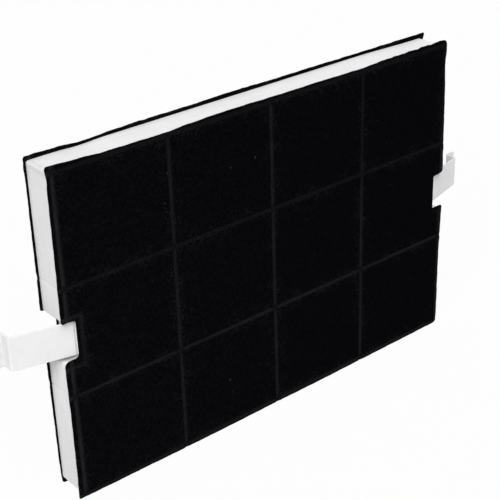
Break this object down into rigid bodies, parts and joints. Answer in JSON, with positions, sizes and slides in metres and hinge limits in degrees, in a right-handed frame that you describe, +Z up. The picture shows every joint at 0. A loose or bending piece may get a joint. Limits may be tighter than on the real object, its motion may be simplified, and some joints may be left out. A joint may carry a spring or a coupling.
{
  "type": "cooker hood carbon filter",
  "caption": "Flat rectangular charcoal filter: white lattice frame between black fleeces, with a notch and a springy latch tab at each end.",
  "frame": {"origin": "middle of the lower edge, half way through the thickness", "axes": "+Z up along the short side as the filter stands, +X along the long side, -Y out of the front fleece"},
  "size_m": [0.4658, 0.028, 0.265],
  "materials": {
    "white_plastic": "moulded, satin",
    "black_fleece": "matt needled fleece, pressed at the welds",
    "charcoal": "dull loose granules"
  },
  "bodies": {
    "filter": {"frame": "white_plastic", "front_fleece": "black_fleece", "rear_fleece": "black_fleece", "charcoal_bed_r1_c1": "charcoal", "charcoal_bed_r1_c2": "charcoal", "charcoal_bed_r1_c3": "charcoal", "charcoal_bed_r1_c4": "charcoal", "charcoal_bed_r2_c1": "charcoal", "charcoal_bed_r2_c2": "charcoal", "charcoal_bed_r2_c3": "charcoal", "charcoal_bed_r2_c4": "charcoal", "charcoal_bed_r3_c1": "charcoal", "charcoal_bed_r3_c2": "charcoal", "charcoal_bed_r3_c3": "charcoal", "charcoal_bed_r3_c4": "charcoal"},
    "right_tab": {"right_latch_tab": "white_plastic"},
    "left_tab": {"left_latch_tab": "white_plastic"}
  },
  "joints": [
    {"name": "right_tab_hinge", "type": "hinge", "parent": "filter", "child": "right_tab", "pos_m": [0.17905, -0.0095, 0.1334], "axis": [0, 0, 1], "range_deg": [-14.5, 60], "stiffness_Nm_per_rad": 0.05},
    {"name": "left_tab_hinge", "type": "hinge", "parent": "filter", "child": "left_tab", "pos_m": [-0.17905, -0.0095, 0.1334], "axis": [0, 0, -1], "range_deg": [-14.5, 60], "stiffness_Nm_per_rad": 0.05}
  ]
}
